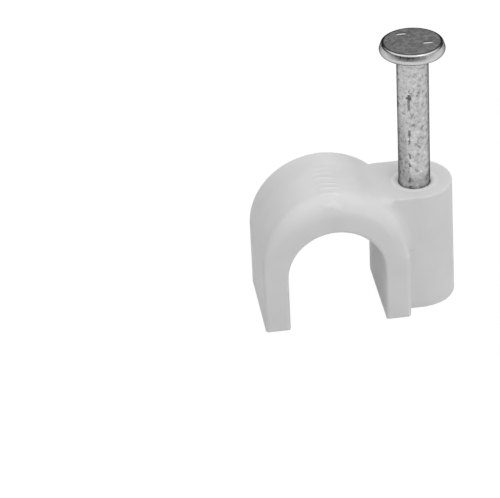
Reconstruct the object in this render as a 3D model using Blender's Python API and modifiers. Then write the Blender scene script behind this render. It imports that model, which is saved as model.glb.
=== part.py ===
"""Round cable clip: a moulded plastic arch with a nail block, and a steel nail waiting in its bore.

The feet stand on z = 0, the cable runs along Y and the nail block is on the +X side.
The origin is at the bottom centre of the whole clip.
"""

from math import atan2, cos, pi, radians, sin, sqrt, tan

import bmesh
import bpy

MM = 0.001

# Cable seat, the opening between the two legs
SEAT_WIDTH = 6.3 * MM
SEAT_HEIGHT = 6.9 * MM
SEAT_EDGE_RADIUS = 0.2 * MM

# Arch over the cable; the far end lies on the mould's parting plane and stays sharp, and the near end
# is rounded, little at the feet and more and more towards the crown
CLIP_LENGTH = 6.5 * MM
LEG_WALL = 1.65 * MM
CROWN_WALL = 2.4 * MM
FOOT_EDGE_RADIUS = 0.15 * MM
CROWN_EDGE_RADIUS = 1.4 * MM

# Nail: a flat head with a rounded heel, a flared neck, and a four-sided point that leans to one side
SHANK_DIAMETER = 2.05 * MM
NAIL_LENGTH = 18.0 * MM
HEAD_DIAMETER = 4.23 * MM
HEAD_RIM = 1.13 * MM
HEAD_EDGE_RADIUS = 0.6 * MM
HEAD_HEEL_RADIUS = 0.3 * MM
NECK_RADIUS = 0.8 * MM
POINT_LENGTH = 4.0 * MM
POINT_TIP_WIDTH = 0.45 * MM
POINT_OFFSET = 0.55 * MM
TIP_LIFT = 0.6 * MM

# Nail block beside the arch; it reaches a little further behind the nail than in front of it
BORE_CLEARANCE = 0.05 * MM
MOUTH_RADIUS = 0.4 * MM
SEAT_WEB = 1.475 * MM
BLOCK_WALL = 1.475 * MM
BLOCK_SET_BACK = 0.2 * MM
BLOCK_SETDOWN = 0.95 * MM
BLOCK_RELIEF = 0.06 * MM
BLOCK_EDGE_RADIUS = 0.3 * MM
BLOCK_DRAFT = radians(0.6)
CROWN_BLEND = 2.5 * MM

# Depths that hide inside another solid, and how far a cutter runs past what it cuts
ROOT_SKIN = 0.35 * MM
BLEND_BITE = 0.1 * MM
CUT_MARGIN = 1.0 * MM

# Facets
HALF_TURN_STEPS = 32
TURN_STEPS = 40
FILLET_STEPS = 5
SMOOTH_ANGLE = radians(35)
CORNER_ANGLE = radians(45)

# Tolerances: welded points, level points and faces that lie in one plane
WELD = 0.001 * MM
LEVEL = 0.01 * MM
FLAT_ANGLE = radians(0.3)

# Sizes that follow from the ones above
SEAT_RADIUS = SEAT_WIDTH / 2
SEAT_CENTRE_Z = SEAT_HEIGHT - SEAT_RADIUS
ARCH_RADIUS = SEAT_RADIUS + LEG_WALL
CROWN_Z = SEAT_HEIGHT + CROWN_WALL
ARCH_CENTRE_Z = CROWN_Z - ARCH_RADIUS
SHANK_RADIUS = SHANK_DIAMETER / 2
BORE_RADIUS = SHANK_RADIUS + BORE_CLEARANCE
NAIL_X = SEAT_RADIUS + SEAT_WEB + BORE_RADIUS
BLOCK_RADIUS = BORE_RADIUS + BLOCK_WALL
BLOCK_TOP = CROWN_Z - BLOCK_SETDOWN
CENTRE_X = (NAIL_X + BLOCK_RADIUS - ARCH_RADIUS) / 2


def clear_scene():
    """Start from an empty scene."""
    for item in list(bpy.data.objects):
        bpy.data.objects.remove(item, do_unlink=True)


def new_collection(name):
    """Make a collection linked to the scene."""
    collection = bpy.data.collections.new(name)
    bpy.context.scene.collection.children.link(collection)
    return collection


def arc(centre_x, centre_z, radius, start, end, steps):
    """Points on a round stretch of an outline, both ends included."""
    turn = (end - start) / steps
    return [
        (centre_x + radius * cos(start + turn * i), centre_z + radius * sin(start + turn * i))
        for i in range(steps + 1)
    ]


def mesh_object(name, mesh, collection, parent):
    """Put a mesh in the scene, shaded smooth up to its real edges."""
    mesh.name = name
    mesh.shade_smooth()
    mesh.set_sharp_from_angle(angle=SMOOTH_ANGLE)
    item = bpy.data.objects.new(name, mesh)
    item.parent = parent
    collection.objects.link(item)
    return item


def evaluated_mesh(item):
    """A copy of an object's mesh with its modifiers carried out."""
    depsgraph = bpy.context.evaluated_depsgraph_get()
    return bpy.data.meshes.new_from_object(item.evaluated_get(depsgraph))


def extruded_outline(points, depth):
    """A flat outline in local X and Y, extruded evenly along local Z, as one welded mesh."""
    curve = bpy.data.curves.new("outline", "CURVE")
    curve.dimensions = "2D"
    curve.fill_mode = "BOTH"
    curve.extrude = depth / 2
    spline = curve.splines.new("POLY")
    spline.points.add(len(points) - 1)
    for point, (x, y) in zip(spline.points, points):
        point.co = (x, y, 0, 1)
    spline.use_cyclic_u = True
    item = bpy.data.objects.new("outline", curve)
    bpy.context.scene.collection.objects.link(item)
    mesh = evaluated_mesh(item)
    bpy.data.objects.remove(item)
    bm = bmesh.new()
    bm.from_mesh(mesh)
    bmesh.ops.remove_doubles(bm, verts=bm.verts, dist=WELD)
    bmesh.ops.dissolve_limit(bm, angle_limit=FLAT_ANGLE, verts=bm.verts, edges=bm.edges)
    bmesh.ops.recalc_face_normals(bm, faces=bm.faces)
    bm.to_mesh(mesh)
    bm.free()
    return mesh


def stand_up(mesh):
    """Turn an extruded outline upright, its local Y along +Z and its depth along Y."""
    for vertex in mesh.vertices:
        x, y, z = vertex.co
        vertex.co = (x, -z, y)


def turned(name, profile, steps, collection, parent):
    """A solid of revolution about Z from a profile that runs from top to bottom."""
    mesh = bpy.data.meshes.new(name)
    bm = bmesh.new()
    verts = [bm.verts.new((x, 0, z)) for x, z in profile]
    for upper, lower in zip(verts, verts[1:]):
        bm.edges.new((upper, lower))
    bm.to_mesh(mesh)
    bm.free()
    item = bpy.data.objects.new(name, mesh)
    item.parent = parent
    collection.objects.link(item)
    screw = item.modifiers.new("turn", "SCREW")
    screw.steps = steps
    screw.render_steps = steps
    screw.use_merge_vertices = True
    screw.merge_threshold = WELD
    return item


def boolean(item, operand, operation):
    """Combine an object with another one."""
    modifier = item.modifiers.new(operand.name, "BOOLEAN")
    modifier.operation = operation
    modifier.solver = "EXACT"
    modifier.object = operand


def hide_cutter(item):
    """Keep a construction solid out of the finished part."""
    item.hide_render = True
    item.display_type = "WIRE"


def make_arch(collection, parent):
    """The arch: a U-shaped outline whose near end is rounded, lightly so round the seat's mouth."""
    outer = [(ARCH_RADIUS, 0)]
    outer += arc(0, ARCH_CENTRE_Z, ARCH_RADIUS, 0, pi, HALF_TURN_STEPS)
    outer += [(-ARCH_RADIUS, 0)]
    inner = [(-SEAT_RADIUS, 0)]
    inner += arc(0, SEAT_CENTRE_Z, SEAT_RADIUS, pi, 0, HALF_TURN_STEPS)
    inner += [(SEAT_RADIUS, 0)]
    mesh = extruded_outline(outer + inner, CLIP_LENGTH)
    stand_up(mesh)
    foot_round = min(FOOT_EDGE_RADIUS, LEG_WALL / 2)
    crown_round = min(CROWN_EDGE_RADIUS, CROWN_WALL - 2 * SEAT_EDGE_RADIUS)
    widest = max(foot_round, crown_round, SEAT_EDGE_RADIUS)
    mark_arch_edges(mesh, foot_round / widest, crown_round / widest, SEAT_EDGE_RADIUS / widest)
    arch = mesh_object("clip_body", mesh, collection, parent)
    bevel = arch.modifiers.new("edges", "BEVEL")
    bevel.limit_method = "WEIGHT"
    bevel.offset_type = "OFFSET"
    bevel.width = widest
    bevel.segments = FILLET_STEPS
    return arch


def mark_arch_edges(mesh, foot_weight, crown_weight, seat_weight):
    """Weight the near end face's edges along the outer and the seat outline, but not across the feet."""
    bm = bmesh.new()
    bm.from_mesh(mesh)
    weight = bm.edges.layers.float.new("bevel_weight_edge")
    for edge in bm.edges:
        first, second = (vert.co for vert in edge.verts)
        at_near_end = max(first.y, second.y) < 0
        on_foot = max(first.z, second.z) < LEVEL
        if at_near_end and not on_foot:
            rise = max((first.z + second.z) / 2 - ARCH_CENTRE_Z, 0) / ARCH_RADIUS
            outer_weight = foot_weight + (crown_weight - foot_weight) * rise
            seat = in_seat(first) and in_seat(second)
            edge[weight] = seat_weight if seat else outer_weight
    bm.to_mesh(mesh)
    bm.free()


def in_seat(point):
    """True for a point on the seat's own outline."""
    rise = max(point.z - SEAT_CENTRE_Z, 0)
    return sqrt(point.x ** 2 + rise ** 2) < SEAT_RADIUS + LEVEL


def block_profile(collection, parent):
    """The block seen along the cable: flat top, hollow blend to the crown, root inside the arch wall."""
    crossing = ARCH_RADIUS - BLEND_BITE
    blend_z = BLOCK_TOP + CROWN_BLEND
    blend_x = sqrt((crossing + CROWN_BLEND) ** 2 - (blend_z - ARCH_CENTRE_Z) ** 2)
    lean = atan2(blend_z - ARCH_CENTRE_Z, blend_x)
    far_x = NAIL_X + BLOCK_RADIUS + CUT_MARGIN
    root = SEAT_RADIUS + ROOT_SKIN
    points = [(root, BLOCK_RELIEF), (far_x, BLOCK_RELIEF), (far_x, BLOCK_TOP)]
    points += arc(blend_x, blend_z, CROWN_BLEND, -pi / 2, lean - pi, FILLET_STEPS)
    points += arc(0, SEAT_CENTRE_Z, root, lean, 0, FILLET_STEPS * 2)
    mesh = extruded_outline(points, 2 * (BLOCK_RADIUS + BLOCK_SET_BACK + CUT_MARGIN))
    stand_up(mesh)
    return mesh_object("block_profile", mesh, collection, parent)


def block_plan(collection, parent):
    """The block seen from above: straight sides and a half round beyond the nail, drafted at that end."""
    points = [(0, BLOCK_SET_BACK - BLOCK_RADIUS)]
    points += arc(NAIL_X, BLOCK_SET_BACK, BLOCK_RADIUS, -pi / 2, pi / 2, HALF_TURN_STEPS)
    points += [(0, BLOCK_SET_BACK + BLOCK_RADIUS)]
    height = BLOCK_TOP + 2 * CUT_MARGIN
    mesh = extruded_outline(points, height)
    for vertex in mesh.vertices:
        z = vertex.co.z + BLOCK_TOP / 2
        taper = 1 - z * tan(BLOCK_DRAFT) / BLOCK_RADIUS
        vertex.co = (NAIL_X + (vertex.co.x - NAIL_X) * taper, vertex.co.y, z)
    return mesh_object("block_plan", mesh, collection, parent)


def make_block(collection, parent):
    """The nail block, with its edges rounded wherever they stand clear of the arch."""
    plan = block_plan(collection, parent)
    profile = block_profile(collection, parent)
    boolean(plan, profile, "INTERSECT")
    mesh = evaluated_mesh(plan)
    bm = bmesh.new()
    bm.from_mesh(mesh)
    bmesh.ops.dissolve_limit(bm, angle_limit=FLAT_ANGLE, verts=bm.verts, edges=bm.edges)
    edges = [edge for edge in bm.edges if edge.calc_face_angle() > CORNER_ANGLE and stands_clear(edge)]
    bmesh.ops.bevel(
        bm,
        geom=edges,
        offset=BLOCK_EDGE_RADIUS,
        offset_type="OFFSET",
        segments=FILLET_STEPS,
        profile=0.5,
        affect="EDGES",
    )
    bm.to_mesh(mesh)
    bm.free()
    bpy.data.objects.remove(plan)
    bpy.data.objects.remove(profile)
    return mesh_object("block", mesh, collection, parent)


def stands_clear(edge):
    """True for an edge that reaches outside the arch's outer surface."""
    rises = [max(vert.co.z - ARCH_CENTRE_Z, 0) for vert in edge.verts]
    reach = max(sqrt(vert.co.x ** 2 + rise ** 2) for vert, rise in zip(edge.verts, rises))
    return reach > ARCH_RADIUS


def make_bore(collection, parent):
    """The hole for the nail, with a rounded mouth in the block's top."""
    mouth_x = BORE_RADIUS + MOUTH_RADIUS
    profile = [(0, BLOCK_TOP + CUT_MARGIN), (mouth_x, BLOCK_TOP + CUT_MARGIN)]
    profile += arc(mouth_x, BLOCK_TOP - MOUTH_RADIUS, MOUTH_RADIUS, pi / 2, pi, FILLET_STEPS)
    profile += [(BORE_RADIUS, -CUT_MARGIN), (0, -CUT_MARGIN)]
    bore = turned("nail_bore", profile, TURN_STEPS, collection, parent)
    bore.location = (NAIL_X, 0, 0)
    return bore


def make_clip_body(parts, cutters, parent):
    """The moulding: arch and nail block as one piece, with the nail's bore through the block."""
    body = make_arch(parts, parent)
    block = make_block(cutters, parent)
    bore = make_bore(cutters, parent)
    boolean(body, block, "UNION")
    boolean(body, bore, "DIFFERENCE")
    for cutter in (block, bore):
        hide_cutter(cutter)
    return body


def make_point_die(collection, parent):
    """A four-sided funnel below the shoulder, leaning so that the point ends beside the nail's axis."""
    corner = sqrt(2)
    wide = (HEAD_DIAMETER + SHANK_DIAMETER) * corner
    lean = atan2(POINT_OFFSET, POINT_LENGTH)
    profile = [
        (0, NAIL_LENGTH),
        (wide, NAIL_LENGTH),
        (wide, 0),
        (SHANK_RADIUS * corner, 0),
        (POINT_TIP_WIDTH / 2 * corner, -POINT_LENGTH / cos(lean)),
        (0, -POINT_LENGTH / cos(lean)),
    ]
    die = turned("point_die", profile, 4, collection, parent)
    die.location = (0, 0, POINT_LENGTH)
    die.rotation_mode = "ZYX"
    die.rotation_euler = (0, lean, pi / 4)
    return die


def head_profile():
    """The head from its centre to the neck: flat top, rounded rim edge and heel, flare to the shank."""
    head_radius = HEAD_DIAMETER / 2
    edge_x = head_radius - HEAD_EDGE_RADIUS
    heel_x = head_radius - HEAD_HEEL_RADIUS
    heel_z = NAIL_LENGTH - HEAD_RIM + HEAD_HEEL_RADIUS
    neck_x = SHANK_RADIUS + NECK_RADIUS
    overlap = max(neck_x - heel_x, 0)
    drop = sqrt((HEAD_HEEL_RADIUS + NECK_RADIUS) ** 2 - overlap ** 2)
    turn = atan2(drop, overlap)
    profile = [(0, NAIL_LENGTH)]
    profile += arc(edge_x, NAIL_LENGTH - HEAD_EDGE_RADIUS, HEAD_EDGE_RADIUS, pi / 2, 0, FILLET_STEPS)
    profile += arc(heel_x, heel_z, HEAD_HEEL_RADIUS, 0, -turn, FILLET_STEPS)
    profile += arc(neck_x, heel_z - drop, NECK_RADIUS, pi - turn, pi, FILLET_STEPS)
    return profile


def make_nail(parts, cutters, parent):
    """The nail, turned about its own axis, with its origin at the end of the point."""
    shoulder = POINT_LENGTH + CUT_MARGIN
    profile = head_profile()
    profile += [(SHANK_RADIUS, shoulder), (SHANK_RADIUS, -CUT_MARGIN), (0, -CUT_MARGIN)]
    nail = turned("nail", profile, TURN_STEPS, parts, parent)
    nail.location = (NAIL_X, 0, TIP_LIFT)
    die = make_point_die(cutters, nail)
    hide_cutter(die)
    boolean(nail, die, "INTERSECT")
    return nail


def principled(name, colour, roughness, metallic):
    """A plain material."""
    material = bpy.data.materials.new(name)
    material.use_nodes = True
    shader = material.node_tree.nodes["Principled BSDF"]
    shader.inputs["Base Color"].default_value = (*colour, 1)
    shader.inputs["Roughness"].default_value = roughness
    shader.inputs["Metallic"].default_value = metallic
    return material


def main():
    """Build the clip."""
    clear_scene()
    parts = new_collection("cable_clip")
    cutters = new_collection("cutters")
    frame = bpy.data.objects.new("clip_frame", None)
    frame.location = (-CENTRE_X, 0, 0)
    parts.objects.link(frame)
    body = make_clip_body(parts, cutters, frame)
    nail = make_nail(parts, cutters, frame)
    body.data.materials.append(principled("white_plastic", (0.72, 0.72, 0.71), 0.42, 0.0))
    nail.data.materials.append(principled("plated_steel", (0.56, 0.56, 0.57), 0.3, 1.0))


main()
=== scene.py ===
"""Looks of the round cable clip: white moulding, plated nail, camera, floor and soft studio light."""

from math import atan2, cos, pi, radians, sin, sqrt, tan

import bmesh
import bpy
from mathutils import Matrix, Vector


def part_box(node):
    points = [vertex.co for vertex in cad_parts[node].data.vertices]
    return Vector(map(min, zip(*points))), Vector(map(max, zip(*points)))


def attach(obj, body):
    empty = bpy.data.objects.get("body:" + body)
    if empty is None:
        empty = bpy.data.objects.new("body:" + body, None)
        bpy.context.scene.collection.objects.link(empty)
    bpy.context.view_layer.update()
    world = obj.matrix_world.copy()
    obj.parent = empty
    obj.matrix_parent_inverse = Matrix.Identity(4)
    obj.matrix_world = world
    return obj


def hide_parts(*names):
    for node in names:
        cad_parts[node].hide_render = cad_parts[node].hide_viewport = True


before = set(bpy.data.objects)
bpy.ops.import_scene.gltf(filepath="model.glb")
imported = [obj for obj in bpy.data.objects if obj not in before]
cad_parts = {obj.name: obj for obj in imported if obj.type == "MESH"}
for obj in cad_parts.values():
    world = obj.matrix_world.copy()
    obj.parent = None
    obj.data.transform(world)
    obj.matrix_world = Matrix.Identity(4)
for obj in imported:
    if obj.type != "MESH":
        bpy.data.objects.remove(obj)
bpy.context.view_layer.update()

MM = 0.001

# Moulding: cable seat and the wall bent over it
SEAT_RADIUS = 3.15 * MM
SEAT_HEIGHT = 6.9 * MM
SEAT_EDGE = 0.2 * MM
CLIP_LENGTH = 6.5 * MM
LEG_WALL = 1.65 * MM
CROWN_WALL = 2.4 * MM
FOOT_EDGE = 0.12 * MM
CROWN_EDGE = 1.4 * MM
FAR_EDGE = 0.08 * MM

# Moulding: nail block
BORE_RADIUS = 1.04 * MM
MOUTH_WIDTH = 0.35 * MM
MOUTH_DEPTH = 0.1 * MM
BLOCK_RADIUS = 2.55 * MM
BLOCK_SET_BACK = 0.2 * MM
BLOCK_TOP = 8.35 * MM
BLOCK_RELIEF = 0.06 * MM
BLOCK_EDGE = 0.2 * MM
BLOCK_END_EDGE = 0.45 * MM
BLOCK_DRAFT = radians(0.6)
BLOCK_NEAR_START = 0.7
BLOCK_END_START = 0.2
CROWN_BLEND = 2.5 * MM
ROOT_SKIN = 0.35 * MM

# Moulding: the skin's grain, and how softly the block runs into the arch
GRAIN = 0.08 * MM
WORKING_SCALE = 10
SOFT_PASSES = 90
SOFT_REACH = 0.8 * MM
SOFT_ALONG = SOFT_REACH * 1.6
SOFT_FAR_REACH = 0.3 * MM

# Nail
SHANK_RADIUS = 1.025 * MM
NAIL_LENGTH = 17.82 * MM
HEAD_RADIUS = 2.1 * MM
HEAD_EDGE = 0.2 * MM
HEAD_LEAN = radians(18)
HEAD_SIDE = 0.26 * MM
HEAD_HEEL = 0.3 * MM
NECK_FLARE = 0.6 * MM
POINT_LENGTH = 4.0 * MM
POINT_TIP = 0.45 * MM
POINT_OFFSET = 0.55 * MM
POINT_DIE_SPREAD = 5

# Nail: marks on its skin and a ring of painted shade round the head's top, x and y counted from its axis.
# Their lengths, widths and heights are halves, without the soft border.
SCORE_X = -0.45 * MM
SCORE_WIDTH = 0.02 * MM
SCORE_SOFT = 0.13 * MM
SCORE_BREAKS = 0.4 * MM
SCORE_DEPTH = 0.05 * MM
SCORE_BELOW_TOP = 3.0 * MM
DENT_Z = 14.9 * MM
DENT_WIDTH = 0.02 * MM
DENT_HEIGHT = 0.05 * MM
DENT_SIDE_SOFT = 0.24 * MM
DENT_END_SOFT = 0.3 * MM
DENT_TEAR = 0.3 * MM
NICK_PLACES = ((-0.48 * MM, 1.18 * MM), (0.95 * MM, -0.35 * MM))
NICK_LENGTH = 0.15 * MM
NICK_WIDTH = 0.03 * MM
NICK_END_SOFT = 0.2 * MM
NICK_SIDE_SOFT = 0.12 * MM
NICK_DEPTH = 0.04 * MM
NICK_BELOW_TOP = 0.05 * MM
RIM_SHADE_WIDTH = 0.4 * MM

# Zinc: spangle, and the greys of shank, head and dents; the dents' grey is also the painted shade round the
# head's flat top
SPANGLE_SIZE = 0.28 * MM
ZINC_GLOSS_SIZE = 0.3 * MM
PIT_DEPTH = 0.025 * MM
ZINC_GREYS = [(0.34, 0.24), (0.43, 0.47), (0.58, 0.57), (0.70, 0.72)]
HEAD_STEEL = (0.6, 0.6, 0.61)
DENT_AND_PAINTED_SHADE_GREY = (0.12, 0.12, 0.12)
HEAD_SKIN_BELOW_TOP = 1.3 * MM
HEAD_SKIN_BORDER = 0.5 * MM

# White plastic: clouds, orange-peel, and the lighter grey of the painted highlights on the ribs and round
# the bore
CLOUD_SIZE = 2.2 * MM
CLOUD_GREYS = [(0.3, 0.70), (0.7, 0.74)]
PAINTED_HIGHLIGHT_GREY = (0.84, 0.84, 0.84)
PLASTIC_GLOSS_SIZE = 0.5 * MM
PEEL_SIZE = 0.35 * MM
PEEL_DEPTH = 0.02 * MM
SKIN_SIZE = 0.09 * MM
SKIN_DEPTH = 0.01 * MM
# Painted highlight round the bore: its inner and outer radius, and how much of the lighter grey it takes
BORE_HIGHLIGHT_INNER = 1.0 * MM
BORE_HIGHLIGHT_OUTER = 1.6 * MM
BORE_HIGHLIGHT_SHARE = 0.8

# Ribs on the crown
RIB_X = -1.87 * MM
RIB_Y = -1.1 * MM
RIB_ROW = 5.4 * MM
RIB_LENGTH = 1.15 * MM
RIB_PITCH = 0.68 * MM
RIB_FADE = 0.3 * MM
RIB_SLANT = 1.2 * MM
RIB_WOBBLE = 5.4
RIB_WOBBLE_SIZE = 0.8 * MM
RIB_HEIGHT = 0.07 * MM
# How much of the painted highlight grey the ribs' crests take
RIB_HIGHLIGHT_SHARE = 0.45

# How finely round shapes are divided, and which edges count as sharp
ROUND_SIDES = 96
ARCH_STEPS = 72
BLEND_STEPS = 24
MOUTH_STEPS = 12
EDGE_STEPS = 10
SHANK_RINGS = 110
TOP_RINGS = 16
SHARP = radians(45)
CLIP_SHADING = radians(40)
NAIL_SHADING = radians(35)

# Floor, room and camera
FLOOR_SIZE = 6
FLOOR_GREY = (0.68, 0.68, 0.68, 1)
FLOOR_GLOW = 1.05
FLOOR_GLOW_SHARE = 0.93
ROOM_LIGHT = 1.21
CAMERA_BESIDE_NAIL = -27.086 * MM
CAMERA_Y = -149.632 * MM
CAMERA_Z = 96.027 * MM
CAMERA_TURN = (1.0238, 0.0460, -0.1357)
CAMERA_LENS = 195.17
FILM_WIDTH = 36

# How far a tool reaches past what it cuts, and how near counts as touching
MARGIN = 1.0 * MM
TOUCH = GRAIN / 8

# Places, from the solid model
clip_low, clip_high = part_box("clip_body")
nail_low, nail_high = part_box("nail")
ARCH_X = clip_low[0] + SEAT_RADIUS + LEG_WALL
NAIL_X = (nail_low[0] + nail_high[0]) / 2
NAIL_Z = nail_low[2]
SEAT_CENTRE_Z = SEAT_HEIGHT - SEAT_RADIUS
WALL_RADIUS = SEAT_RADIUS + LEG_WALL
WALL_CENTRE_Z = SEAT_HEIGHT + CROWN_WALL - WALL_RADIUS
MID_RADIUS = SEAT_RADIUS + LEG_WALL / 2
BLOCK_NEAR_Y = BLOCK_SET_BACK - BLOCK_RADIUS
BLOCK_FAR_Y = BLOCK_SET_BACK + BLOCK_RADIUS
NAIL_TOP = NAIL_Z + NAIL_LENGTH


def take_up(item):
    """Select one object and nothing else."""
    bpy.ops.object.select_all(action="DESELECT")
    item.select_set(True)
    bpy.context.view_layer.objects.active = item


def edit(item):
    """Open one object in edit mode, ready to pick its vertices."""
    take_up(item)
    bpy.ops.object.mode_set(mode="EDIT")
    bpy.ops.mesh.select_mode(type="VERT")


def pick(item, wanted):
    """Select the vertices whose place passes a test, with the edges and faces between them."""
    bpy.ops.mesh.select_all(action="DESELECT")
    bm = bmesh.from_edit_mesh(item.data)
    for vert in bm.verts:
        vert.select_set(wanted(vert.co))
    bm.select_flush(True)
    bmesh.update_edit_mesh(item.data)


def close(item):
    """Leave edit mode with every face pointing outwards and the object's place in its mesh."""
    bpy.ops.mesh.select_all(action="SELECT")
    bpy.ops.mesh.normals_make_consistent(inside=False)
    bpy.ops.object.mode_set(mode="OBJECT")
    settle(item)


def settle(item):
    """Put an object's place, turn and size into its mesh."""
    take_up(item)
    bpy.ops.object.transform_apply(location=True, rotation=True, scale=True)


def new_primitive(name, add, **where):
    """Add a primitive with nothing else selected, name it and settle it."""
    bpy.ops.object.select_all(action="DESELECT")
    add(**where)
    item = bpy.context.object
    item.name = name
    settle(item)
    return item


def extrude(dx=0, dy=0, dz=0):
    """Extrude what is selected by a step."""
    bpy.ops.mesh.extrude_region_move(TRANSFORM_OT_translate={"value": (dx, dy, dz)})


def apply_modifier(item, kind, **settings):
    """Give an object a modifier and carry it out."""
    modifier = item.modifiers.new("step", kind)
    for key, value in settings.items():
        setattr(modifier, key, value)
    bpy.context.view_layer.objects.active = item
    bpy.ops.object.modifier_apply(modifier=modifier.name)


def combine(item, tool, operation):
    """Join or cut an object with another solid, which is used up."""
    apply_modifier(item, "BOOLEAN", operation=operation, solver="EXACT", object=tool)
    bpy.data.objects.remove(tool, do_unlink=True)


def turn_up(name, axis_x, profile):
    """A round solid about an upright axis, raised ring by ring from its lowest disc."""
    radius, z = profile[0]
    item = new_primitive(
        name,
        bpy.ops.mesh.primitive_circle_add,
        vertices=ROUND_SIDES,
        radius=radius,
        fill_type="NGON",
        location=(axis_x, 0, z),
    )
    edit(item)
    bpy.ops.mesh.select_all(action="SELECT")
    for (last_radius, last_z), (radius, z) in zip(profile, profile[1:]):
        extrude(dz=z - last_z)
        size = radius / last_radius
        bpy.ops.transform.resize(value=(size, size, 1), center_override=(axis_x, 0, z))
    close(item)
    return item


def quarter(centre_r, centre_z, radius, start, end, steps):
    """Points on a round stretch of a profile, both ends included."""
    turn = (end - start) / steps
    return [
        (centre_r + radius * cos(start + turn * i), centre_z + radius * sin(start + turn * i))
        for i in range(steps + 1)
    ]


def oval(centre_r, centre_z, width, depth, start, end, steps):
    """Points on a stretch of an oval, as wide and as deep as told."""
    stretch = depth / width
    round_part = quarter(centre_r, 0, width, start, end, steps)
    return [(r, centre_z + z * stretch) for r, z in round_part]


def weigh_edges(item, widest, width_of):
    """Round an object's edges, each by its own width, which may change from edge to edge."""
    bm = bmesh.new()
    bm.from_mesh(item.data)
    weight = bm.edges.layers.float.new("bevel_weight_edge")
    for edge in bm.edges:
        edge[weight] = width_of(edge) / widest
    bm.to_mesh(item.data)
    bm.free()
    apply_modifier(
        item,
        "BEVEL",
        limit_method="WEIGHT",
        offset_type="OFFSET",
        width=widest,
        segments=EDGE_STEPS,
    )


def bend_arch():
    """The arch: a leg's cross-section raised, swept over the seat and led down to the other foot."""
    leg_x = ARCH_X - SEAT_RADIUS - LEG_WALL / 2
    arch = new_primitive(
        "clip_moulding",
        bpy.ops.mesh.primitive_plane_add,
        size=1,
        location=(leg_x, 0, 0),
    )
    edit(arch)
    bpy.ops.mesh.select_all(action="SELECT")
    bpy.ops.transform.resize(value=(LEG_WALL, CLIP_LENGTH, 1), center_override=(leg_x, 0, 0))
    extrude(dz=SEAT_CENTRE_Z)
    bpy.ops.mesh.spin(steps=ARCH_STEPS, angle=-pi, center=(ARCH_X, 0, SEAT_CENTRE_Z), axis=(0, 1, 0))
    extrude(dz=-SEAT_CENTRE_Z)
    pick(arch, lambda co: co.z > SEAT_CENTRE_Z - GRAIN and off_axis(co, SEAT_CENTRE_Z) > MID_RADIUS)
    bpy.ops.transform.translate(value=(0, 0, CROWN_WALL - LEG_WALL))
    close(arch)
    weigh_edges(arch, CROWN_EDGE, arch_rounding)
    return arch


def off_axis(co, centre_z):
    """How far a point lies from the arch's axis; below the axis only its distance to the side counts."""
    return sqrt((co.x - ARCH_X) ** 2 + max(co.z - centre_z, 0) ** 2)


def arch_rounding(edge):
    """How much an edge of the arch is rounded: more towards the crown, hardly at the far end."""
    first, second = (vert.co for vert in edge.verts)
    along_cable = abs(first.y - second.y) > CLIP_LENGTH / 2
    if edge.calc_face_angle(0) < SHARP or along_cable or max(first.z, second.z) < GRAIN:
        return 0
    if first.y > 0:
        return FAR_EDGE
    middle = (first + second) / 2
    if off_axis(middle, SEAT_CENTRE_Z) < MID_RADIUS:
        return SEAT_EDGE
    rise = max(middle.z - WALL_CENTRE_Z, 0) / WALL_RADIUS
    return FOOT_EDGE + (CROWN_EDGE - FOOT_EDGE) * rise


def shape_block():
    """The nail block: a half-round column, its end drafted, hollowed up to the crown, its rim rounded."""
    blend_z = BLOCK_TOP + CROWN_BLEND
    blend_x = ARCH_X + sqrt((WALL_RADIUS + CROWN_BLEND) ** 2 - (blend_z - WALL_CENTRE_Z) ** 2)
    lean = atan2(blend_z - WALL_CENTRE_Z, blend_x - ARCH_X)
    root_x = ARCH_X + (WALL_RADIUS - ROOT_SKIN / 10) * cos(lean)
    block = new_primitive(
        "block",
        bpy.ops.mesh.primitive_circle_add,
        vertices=ROUND_SIDES,
        radius=BLOCK_RADIUS,
        fill_type="NOTHING",
        location=(NAIL_X, BLOCK_SET_BACK, BLOCK_RELIEF),
    )
    edit(block)
    pick(block, lambda co: co.x < NAIL_X - TOUCH)
    bpy.ops.mesh.delete(type="VERT")
    pick(block, lambda co: co.x < NAIL_X + TOUCH)
    extrude(dx=root_x - NAIL_X)
    bpy.ops.mesh.select_all(action="SELECT")
    bpy.ops.mesh.edge_face_add()
    height = blend_z - BLOCK_RELIEF
    extrude(dz=height)
    taper = 1 - height * tan(BLOCK_DRAFT) / BLOCK_RADIUS
    pick(block, lambda co: co.z > BLOCK_TOP and co.x > NAIL_X)
    bpy.ops.transform.resize(value=(taper, 1, 1), center_override=(NAIL_X, 0, blend_z))
    close(block)
    combine(block, hollow_tool(blend_x, blend_z), "DIFFERENCE")
    combine(block, seat_tool(), "DIFFERENCE")
    weigh_edges(block, BLOCK_END_EDGE, block_rounding)
    return block


def within_one(value):
    """A value kept within 0 and 1."""
    return min(max(value, 0), 1)


def block_rounding(edge):
    """How much an edge of the block is rounded: more towards its round end, and less at the far side."""
    reach = max(off_axis(vert.co, WALL_CENTRE_Z) for vert in edge.verts)
    if edge.calc_face_angle(0) < SHARP or reach < WALL_RADIUS + TOUCH:
        return 0
    middle = (edge.verts[0].co + edge.verts[1].co) / 2
    nearness = within_one((BLOCK_SET_BACK - middle.y) / BLOCK_RADIUS + BLOCK_NEAR_START)
    endness = within_one((middle.x - NAIL_X) / BLOCK_RADIUS + BLOCK_END_START)
    near_edge = BLOCK_EDGE + (BLOCK_END_EDGE - BLOCK_EDGE) * endness
    return FAR_EDGE + (near_edge - FAR_EDGE) * nearness


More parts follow.
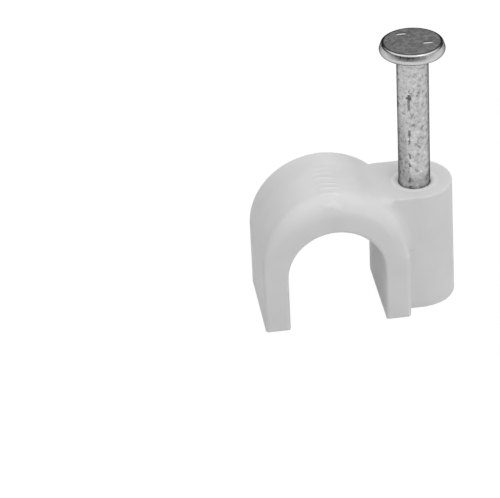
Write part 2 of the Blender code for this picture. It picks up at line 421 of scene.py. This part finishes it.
def hollow_tool(blend_x, blend_z):
    """What is cleared away above the block: a slab whose lower edge is rounded to the crown's blend."""
    reach = 4 * CROWN_BLEND
    low_x = blend_x - CROWN_BLEND
    tool = new_primitive(
        "hollow_tool",
        bpy.ops.mesh.primitive_cube_add,
        size=reach,
        location=(low_x + reach / 2, 0, BLOCK_TOP + reach / 2),
    )
    edit(tool)
    pick(tool, lambda co: co.x < blend_x and co.z < blend_z)
    bpy.ops.mesh.bevel(
        offset=CROWN_BLEND,
        offset_type="OFFSET",
        segments=BLEND_STEPS,
        profile=0.5,
        affect="EDGES",
    )
    close(tool)
    return tool


def seat_tool():
    """What keeps the block's root inside the arch wall: the cable seat, a little wider."""
    tool = new_primitive(
        "seat_tool",
        bpy.ops.mesh.primitive_cylinder_add,
        vertices=ROUND_SIDES,
        radius=SEAT_RADIUS + ROOT_SKIN,
        depth=2 * CLIP_LENGTH,
        location=(ARCH_X, 0, SEAT_CENTRE_Z),
        rotation=(pi / 2, 0, 0),
    )
    edit(tool)
    pick(tool, lambda co: co.z < SEAT_CENTRE_Z - TOUCH)
    bpy.ops.transform.translate(value=(0, 0, -SEAT_HEIGHT))
    close(tool)
    return tool


def bore_tool():
    """The nail's bore with its rounded mouth."""
    mouth_r = BORE_RADIUS + MOUTH_WIDTH
    profile = [(BORE_RADIUS, -MARGIN)]
    mouth_z = BLOCK_TOP - MOUTH_DEPTH
    profile += oval(mouth_r, mouth_z, MOUTH_WIDTH, MOUTH_DEPTH, pi, pi / 2, MOUTH_STEPS)
    profile += [(mouth_r, BLOCK_TOP + MARGIN)]
    return turn_up("bore_tool", NAIL_X, profile)


def near_junction(co):
    """True where the block runs into the arch's shoulder; at the far side only close to the line itself."""
    off_wall = abs(off_axis(co, WALL_CENTRE_Z) - WALL_RADIUS)
    beside = co.x > ARCH_X and co.z > WALL_CENTRE_Z
    near = abs(co.y - BLOCK_NEAR_Y) < SOFT_ALONG and off_wall < SOFT_REACH
    far = max(abs(co.y - BLOCK_FAR_Y), off_wall) < SOFT_FAR_REACH
    return beside and (near or far)


def mould_clip():
    """The whole moulding in one skin: arch and block grown together, then the bore."""
    clip = bend_arch()
    combine(clip, shape_block(), "UNION")
    clip.scale = [WORKING_SCALE] * 3
    settle(clip)
    apply_modifier(clip, "REMESH", mode="VOXEL", voxel_size=GRAIN * WORKING_SCALE, adaptivity=0)
    clip.scale = [1 / WORKING_SCALE] * 3
    settle(clip)
    edit(clip)
    pick(clip, near_junction)
    bpy.ops.mesh.vertices_smooth(factor=0.5, repeat=SOFT_PASSES)
    bpy.ops.object.mode_set(mode="OBJECT")
    combine(clip, bore_tool(), "DIFFERENCE")
    settle(clip)
    bpy.ops.object.shade_smooth_by_angle(angle=CLIP_SHADING)
    return clip


def nail_profile():
    """The nail's outline: shank, flared neck, and the head's heel, leaning side, edge and flat top."""
    edge_z = NAIL_LENGTH - HEAD_EDGE
    side_drop = HEAD_SIDE * cos(HEAD_LEAN)
    heel_r = HEAD_RADIUS - HEAD_HEEL
    heel_z = edge_z - side_drop - (HEAD_HEEL - HEAD_EDGE) * sin(HEAD_LEAN)
    edge_r = heel_r + (HEAD_HEEL - HEAD_EDGE) * cos(HEAD_LEAN) - HEAD_SIDE * sin(HEAD_LEAN)
    neck_r = SHANK_RADIUS + NECK_FLARE
    neck_z = heel_z - HEAD_HEEL - NECK_FLARE
    rise = neck_z + MARGIN
    profile = [(SHANK_RADIUS, -MARGIN + rise * i / SHANK_RINGS) for i in range(SHANK_RINGS)]
    profile += quarter(neck_r, neck_z, NECK_FLARE, pi, pi / 2, EDGE_STEPS)
    profile += quarter(heel_r, heel_z, HEAD_HEEL, -pi / 2, HEAD_LEAN, EDGE_STEPS)
    profile += quarter(edge_r, edge_z, HEAD_EDGE, HEAD_LEAN, pi / 2, EDGE_STEPS)
    profile += [(edge_r * (1 - i / TOP_RINGS), NAIL_LENGTH) for i in range(1, TOP_RINGS)]
    return [(r, z + NAIL_Z) for r, z in profile]


def point_tool():
    """Four dies that pinch the nail to a point beside its axis."""
    corner = sqrt(2)
    lean = atan2(POINT_OFFSET, POINT_LENGTH)
    depth = POINT_LENGTH / cos(lean)
    shoulder_z = NAIL_Z + POINT_LENGTH
    tool = new_primitive(
        "point_tool",
        bpy.ops.mesh.primitive_cone_add,
        vertices=4,
        radius1=POINT_TIP / 2 * corner,
        radius2=SHANK_RADIUS * corner,
        depth=depth,
        location=(NAIL_X, 0, shoulder_z - depth / 2),
        rotation=(0, 0, pi / 4),
    )
    edit(tool)
    pick(tool, lambda co: co.z > shoulder_z - GRAIN)
    extrude()
    spread = (POINT_DIE_SPREAD, POINT_DIE_SPREAD, 1)
    bpy.ops.transform.resize(value=spread, center_override=(NAIL_X, 0, shoulder_z))
    extrude(dz=2 * NAIL_LENGTH)
    bpy.ops.mesh.select_all(action="SELECT")
    bpy.ops.transform.rotate(
        value=-lean,
        orient_axis="Y",
        center_override=(NAIL_X, 0, shoulder_z),
    )
    close(tool)
    return tool


def forge_nail():
    """The nail: shank, flared neck, flat head and pinched point."""
    nail = turn_up("clip_nail", NAIL_X, nail_profile())
    combine(nail, point_tool(), "INTERSECT")
    settle(nail)
    bpy.ops.object.shade_smooth_by_angle(angle=NAIL_SHADING)
    return nail


def new_material(name):
    """A material, with its node tree and its shader."""
    material = bpy.data.materials.new(name)
    material.use_nodes = True
    tree = material.node_tree
    return material, tree, tree.nodes["Principled BSDF"]


def noise(tree, size, detail=2.0, roughness=0.5):
    """A noise on Object coordinates whose lumps are about that size."""
    place = tree.nodes.new("ShaderNodeTexCoord")
    node = tree.nodes.new("ShaderNodeTexNoise")
    node.inputs["Scale"].default_value = 1 / size
    node.inputs["Detail"].default_value = detail
    node.inputs["Roughness"].default_value = roughness
    tree.links.new(place.outputs["Object"], node.inputs["Vector"])
    return node.outputs["Fac"]


def ramp(tree, value, stops):
    """A ramp of greys over a value; each stop is its place and its grey."""
    node = tree.nodes.new("ShaderNodeValToRGB")
    tree.links.new(value, node.inputs["Fac"])
    elements = node.color_ramp.elements
    while len(elements) < len(stops):
        elements.new(0.5)
    for element, (place, grey) in zip(elements, stops):
        element.position = place
        element.color = (grey, grey, grey, 1)
    return node.outputs["Color"]


def bump(tree, height, strength, distance, under=None):
    """A bump from a height, laid over another bump if one is given."""
    node = tree.nodes.new("ShaderNodeBump")
    node.inputs["Strength"].default_value = strength
    node.inputs["Distance"].default_value = distance
    tree.links.new(height, node.inputs["Height"])
    if under is not None:
        tree.links.new(under, node.inputs["Normal"])
    return node.outputs["Normal"]


def reckon(tree, operation, *values, clamp=True):
    """A sum of numbers and other nodes' results, kept within 0 and 1 unless told otherwise."""
    node = tree.nodes.new("ShaderNodeMath")
    node.operation = operation
    node.use_clamp = clamp
    for socket, value in zip(node.inputs, values):
        if isinstance(value, (int, float)):
            socket.default_value = value
        else:
            tree.links.new(value, socket)
    return node.outputs[0]


def coordinate(tree, axis, kind="Object"):
    """One coordinate of the place being shaded."""
    place = tree.nodes.new("ShaderNodeTexCoord")
    split = tree.nodes.new("ShaderNodeSeparateXYZ")
    tree.links.new(place.outputs[kind], split.inputs["Vector"])
    return split.outputs[axis]


def between(tree, axis, middle, reach, soft):
    """1 near a level along one axis, fading to 0 over a soft border."""
    away = reckon(tree, "ABSOLUTE", span(tree, coordinate(tree, axis), middle, middle + reach + soft))
    return ramp(tree, away, [(reach / (reach + soft), 1.0), (1.0, 0.0)])


def span(tree, value, start, end):
    """A value counted from 0 at the start to 1 at the end, and on beyond them."""
    node = tree.nodes.new("ShaderNodeMapRange")
    node.clamp = False
    node.inputs["From Min"].default_value = start
    node.inputs["From Max"].default_value = end
    tree.links.new(value, node.inputs["Value"])
    return node.outputs["Result"]


def crown_ribs(tree):
    """Faint, slightly wavy and slanted ribs in a row along the crown, short ones across it."""
    turns = span(tree, coordinate(tree, "Y"), 0, RIB_PITCH / (2 * pi))
    slant = span(tree, coordinate(tree, "X"), ARCH_X, ARCH_X + RIB_SLANT)
    wobble = noise(tree, RIB_WOBBLE_SIZE)
    shift = reckon(tree, "MULTIPLY_ADD", wobble, RIB_WOBBLE, slant, clamp=False)
    phase = reckon(tree, "ADD", turns, shift, clamp=False)
    wave = reckon(tree, "SINE", phase, clamp=False)
    height = ramp(tree, span(tree, wave, -1, 1), [(0.45, 0.0), (0.95, 1.0)])
    across = between(tree, "X", RIB_X, (RIB_LENGTH - RIB_FADE) / 2, RIB_FADE)
    along = between(tree, "Y", RIB_Y, RIB_ROW / 4, RIB_ROW / 3)
    return reckon(tree, "MULTIPLY", height, reckon(tree, "MULTIPLY", across, along))


def from_nail(tree):
    """How far the place being shaded is from the nail's axis."""
    place = tree.nodes.new("ShaderNodeTexCoord")
    aside = tree.nodes.new("ShaderNodeVectorMath")
    aside.operation = "MULTIPLY_ADD"
    aside.inputs[1].default_value = (1, 1, 0)
    aside.inputs[2].default_value = (-NAIL_X, 0, 0)
    length = tree.nodes.new("ShaderNodeVectorMath")
    length.operation = "LENGTH"
    tree.links.new(place.outputs["Object"], aside.inputs[0])
    tree.links.new(aside.outputs["Vector"], length.inputs[0])
    return length.outputs["Value"]


def bore_highlight_ring(tree):
    """Painted highlight: a lighter ring round the bore, standing in for the bright edge of the bore's lip.
    """
    outwards = span(tree, from_nail(tree), BORE_HIGHLIGHT_INNER, BORE_HIGHLIGHT_OUTER)
    ring = ramp(tree, outwards, [(0.3, 0.0), (0.6, 1.0), (0.7, 1.0), (1.0, 0.0)])
    on_top = reckon(tree, "GREATER_THAN", coordinate(tree, "Z"), BLOCK_TOP - MOUTH_DEPTH)
    return reckon(tree, "MULTIPLY", ring, on_top)


def white_plastic():
    """Satin white plastic, slightly cloudy, with a moulded skin's fine orange-peel and faint ribs on top,
    and painted highlights on the ribs' crests and round the bore.
    """
    material, tree, shader = new_material("white_plastic")
    colour = ramp(tree, noise(tree, CLOUD_SIZE), CLOUD_GREYS)
    ribs = crown_ribs(tree)
    # Painted highlight round the bore's lip
    bore_highlight = reckon(tree, "MULTIPLY", bore_highlight_ring(tree), BORE_HIGHLIGHT_SHARE)
    # Painted highlight: a lighter grey laid on the ribs' crests and in a ring round the bore
    light = reckon(tree, "MULTIPLY_ADD", ribs, RIB_HIGHLIGHT_SHARE, bore_highlight)
    highlighted = mix_colour(tree, light, colour, PAINTED_HIGHLIGHT_GREY)
    tree.links.new(highlighted, shader.inputs["Base Color"])
    gloss = ramp(tree, noise(tree, PLASTIC_GLOSS_SIZE), [(0.3, 0.42), (0.7, 0.52)])
    tree.links.new(gloss, shader.inputs["Roughness"])
    peel = bump(tree, noise(tree, PEEL_SIZE), strength=0.2, distance=PEEL_DEPTH)
    skin = bump(tree, noise(tree, SKIN_SIZE), strength=0.15, distance=SKIN_DEPTH, under=peel)
    ribbed = bump(tree, ribs, strength=0.6, distance=RIB_HEIGHT, under=skin)
    tree.links.new(ribbed, shader.inputs["Normal"])
    shader.inputs["IOR"].default_value = 1.46
    shader.inputs["Specular IOR Level"].default_value = 0.18
    shader.inputs["Subsurface Weight"].default_value = 0.2
    shader.inputs["Subsurface Radius"].default_value = (1.0, 0.95, 0.9)
    shader.inputs["Subsurface Scale"].default_value = 0.5 * MM
    return material


def scored_line(tree):
    """A row of short dents pressed into the near side of the shank, and one deeper dent above them."""
    beside = between(tree, "X", NAIL_X + SCORE_X, SCORE_WIDTH, SCORE_SOFT)
    facing = reckon(tree, "LESS_THAN", coordinate(tree, "Y"), 0)
    gaps = noise(tree, SCORE_BREAKS, detail=3.0, roughness=0.6)
    broken = ramp(tree, gaps, [(0.44, 0.0), (0.60, 1.0)])
    under_head = reckon(tree, "LESS_THAN", coordinate(tree, "Z"), NAIL_TOP - SCORE_BELOW_TOP)
    row = ramp(tree, reckon(tree, "MULTIPLY", beside, broken), [(0.4, 0.0), (0.8, 0.75)])
    line = reckon(tree, "MULTIPLY", row, under_head)
    wide = between(tree, "X", NAIL_X + SCORE_X, DENT_WIDTH, DENT_SIDE_SOFT)
    tall = between(tree, "Z", DENT_Z, DENT_HEIGHT, DENT_END_SOFT)
    torn = ramp(tree, noise(tree, DENT_TEAR), [(0.3, 0.3), (0.6, 1.0)])
    patch = reckon(tree, "MULTIPLY", torn, reckon(tree, "MULTIPLY", wide, tall))
    dent = ramp(tree, patch, [(0.3, 0.0), (0.42, 1.0)])
    return reckon(tree, "MULTIPLY", reckon(tree, "MAXIMUM", line, dent), facing)


def nick(tree, x, y):
    """A short, shallow nick in the head's flat top, x and y from the nail's axis."""
    long_way = between(tree, "X", NAIL_X + x, NICK_LENGTH, NICK_END_SOFT)
    short_way = between(tree, "Y", y, NICK_WIDTH, NICK_SIDE_SOFT)
    top = reckon(tree, "GREATER_THAN", coordinate(tree, "Z"), NAIL_TOP - NICK_BELOW_TOP)
    return reckon(tree, "MULTIPLY", top, reckon(tree, "MULTIPLY", long_way, short_way))


def rim_shade(tree):
    """Painted shade: a darker ring round the head's flat top."""
    top = reckon(tree, "GREATER_THAN", coordinate(tree, "Z"), NAIL_TOP - HEAD_EDGE / 8)
    outwards = span(tree, from_nail(tree), HEAD_RADIUS - RIM_SHADE_WIDTH, HEAD_RADIUS)
    return reckon(tree, "MULTIPLY", top, ramp(tree, outwards, [(0.18, 0.0), (0.25, 1.0)]))


def plated_steel():
    """Bright plated steel: a mottled, dented shank and a plain head, darker at grazing angles, with painted
    shade in a ring round the head's flat top.
    """
    material, tree, shader = new_material("plated_steel")
    neck_z = NAIL_TOP - HEAD_SKIN_BELOW_TOP
    up_neck = span(tree, coordinate(tree, "Z"), neck_z, neck_z + HEAD_SKIN_BORDER)
    shank = ramp(tree, up_neck, [(0.0, 1.0), (1.0, 0.12)])
    spangle = noise(tree, SPANGLE_SIZE, detail=4.0, roughness=0.65)
    colour = mix_colour(tree, shank, HEAD_STEEL, ramp(tree, spangle, ZINC_GREYS))
    dents = scored_line(tree)
    # Painted shade: the dents' dark grey is also laid in a ring round the head's flat top
    dents_and_painted_shade = reckon(tree, "MAXIMUM", dents, rim_shade(tree))
    colour = mix_colour(tree, dents_and_painted_shade, colour, DENT_AND_PAINTED_SHADE_GREY)
    tree.links.new(colour, shader.inputs["Base Color"])
    gloss = ramp(tree, noise(tree, ZINC_GLOSS_SIZE), [(0.3, 0.20), (0.7, 0.32)])
    tree.links.new(gloss, shader.inputs["Roughness"])
    pits = bump(tree, reckon(tree, "MULTIPLY", spangle, shank), strength=0.5, distance=PIT_DEPTH)
    hollow = reckon(tree, "SUBTRACT", 1.0, dents)
    scored = bump(tree, hollow, strength=0.8, distance=SCORE_DEPTH, under=pits)
    nicks = reckon(tree, "ADD", *(nick(tree, x, y) for x, y in NICK_PLACES))
    nicked = bump(tree, nicks, strength=1.0, distance=NICK_DEPTH, under=scored)
    tree.links.new(nicked, shader.inputs["Normal"])
    shader.inputs["Metallic"].default_value = 1.0
    shader.inputs["Specular Tint"].default_value = (0.08, 0.08, 0.08, 1)
    return material


def mix_colour(tree, share, first, second):
    """The first colour where the share is 0, the second where it is 1."""
    node = tree.nodes.new("ShaderNodeMix")
    node.data_type = "RGBA"
    tree.links.new(share, node.inputs["Factor"])
    for name, value in (("A", first), ("B", second)):
        socket = next(item for item in node.inputs if item.name == name and item.type == "RGBA")
        if isinstance(value, tuple):
            socket.default_value = (*value, 1)
        else:
            tree.links.new(value, socket)
    return next(item for item in node.outputs if item.type == "RGBA")


def lay_floor():
    """A plain white floor that keeps a soft shadow."""
    floor = new_primitive("floor", bpy.ops.mesh.primitive_plane_add, size=FLOOR_SIZE, location=(0, 0, 0))
    material, tree, shader = new_material("floor_white")
    shader.inputs["Base Color"].default_value = FLOOR_GREY
    shader.inputs["Roughness"].default_value = 1.0
    shader.inputs["Specular IOR Level"].default_value = 0.0
    rays = tree.nodes.new("ShaderNodeLightPath")
    seen = rays.outputs["Is Camera Ray"]
    for name in ("Is Glossy Ray", "Is Transmission Ray"):
        seen = reckon(tree, "ADD", seen, rays.outputs[name])
    glow = tree.nodes.new("ShaderNodeEmission")
    glow.inputs["Strength"].default_value = FLOOR_GLOW
    mix = tree.nodes.new("ShaderNodeMixShader")
    tree.links.new(reckon(tree, "MULTIPLY", seen, FLOOR_GLOW_SHARE), mix.inputs["Fac"])
    tree.links.new(shader.outputs["BSDF"], mix.inputs[1])
    tree.links.new(glow.outputs["Emission"], mix.inputs[2])
    tree.links.new(mix.outputs["Shader"], tree.nodes["Material Output"].inputs["Surface"])
    floor.data.materials.append(material)


def towards(tree, x, y, stops):
    """A ramp over how squarely a direction points to one side of the room."""
    place = tree.nodes.new("ShaderNodeTexCoord")
    square = tree.nodes.new("ShaderNodeVectorMath")
    square.operation = "DOT_PRODUCT"
    square.inputs[1].default_value = (x, y, 0)
    tree.links.new(place.outputs["Generated"], square.inputs[0])
    return ramp(tree, square.outputs["Value"], stops)


def light_world():
    """Surroundings: a white tent, its wall dark behind, grey round the camera and dimmer at both sides.

    Height is 0 at the horizon and 1 overhead.
    """
    world = bpy.data.worlds.new("studio")
    bpy.context.scene.world = world
    world.use_nodes = True
    tree = world.node_tree
    height = coordinate(tree, "Z", "Generated")
    tall_wall = ramp(tree, height, [(0.03, 0.0), (0.10, 1.0), (0.54, 1.0), (0.68, 0.0)])
    low_wall = ramp(tree, height, [(0.0, 0.0), (0.05, 1.0), (0.44, 1.0), (0.58, 0.0)])
    behind = towards(tree, 0, 1, [(0.10, 0.0), (0.50, 0.85)])
    camera_side = towards(tree, -0.24, -0.97, [(0.54, 0.0), (0.68, 0.85)])
    left = towards(tree, -1, 0, [(0.05, 0.0), (0.5, 0.9)])
    right = towards(tree, 1, 0, [(0.5, 0.0), (0.8, 0.6)])
    around = reckon(tree, "ADD", camera_side, reckon(tree, "ADD", left, right))
    far_shade = reckon(tree, "MULTIPLY", tall_wall, behind)
    near_shade = reckon(tree, "MULTIPLY", low_wall, around)
    light = reckon(tree, "SUBTRACT", 1.0, reckon(tree, "ADD", far_shade, near_shade))
    background = tree.nodes["Background"]
    tree.links.new(light, background.inputs["Color"])
    background.inputs["Strength"].default_value = ROOM_LIGHT


def hang_lamp(name, place, turn, size, power, glints=True):
    """A square soft box; without glints it isn't mirrored in shiny things."""
    bpy.ops.object.select_all(action="DESELECT")
    bpy.ops.object.light_add(type="AREA", location=place, rotation=turn)
    lamp = bpy.context.object
    lamp.name = name
    lamp.data.shape = "SQUARE"
    lamp.data.size = size
    lamp.data.energy = power
    lamp.visible_glossy = glints


def set_camera():
    """The camera, where the photograph was taken from."""
    bpy.ops.object.select_all(action="DESELECT")
    bpy.ops.object.camera_add(
        location=(NAIL_X + CAMERA_BESIDE_NAIL, CAMERA_Y, CAMERA_Z),
        rotation=CAMERA_TURN,
    )
    camera = bpy.context.object
    camera.data.lens = CAMERA_LENS
    camera.data.sensor_width = FILM_WIDTH
    camera.data.clip_start = 10 * MM
    bpy.context.scene.camera = camera


clip = mould_clip()
clip.data.materials.clear()
clip.data.materials.append(white_plastic())
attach(clip, "clip")
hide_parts("clip_body")

nail = forge_nail()
nail.data.materials.clear()
nail.data.materials.append(plated_steel())
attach(nail, "nail")
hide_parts("nail")

lay_floor()
light_world()
hang_lamp(
    "key",
    place=(0.16, -0.24, 0.55),
    turn=(radians(27), 0, radians(34)),
    size=0.15,
    power=0.28,
)
hang_lamp(
    "fill",
    place=(0.08, -0.62, 0.16),
    turn=(radians(75.6), 0, radians(7)),
    size=0.4,
    power=0.42,
    glints=False,
)
set_camera()
bpy.context.scene.view_settings.view_transform = "Standard"
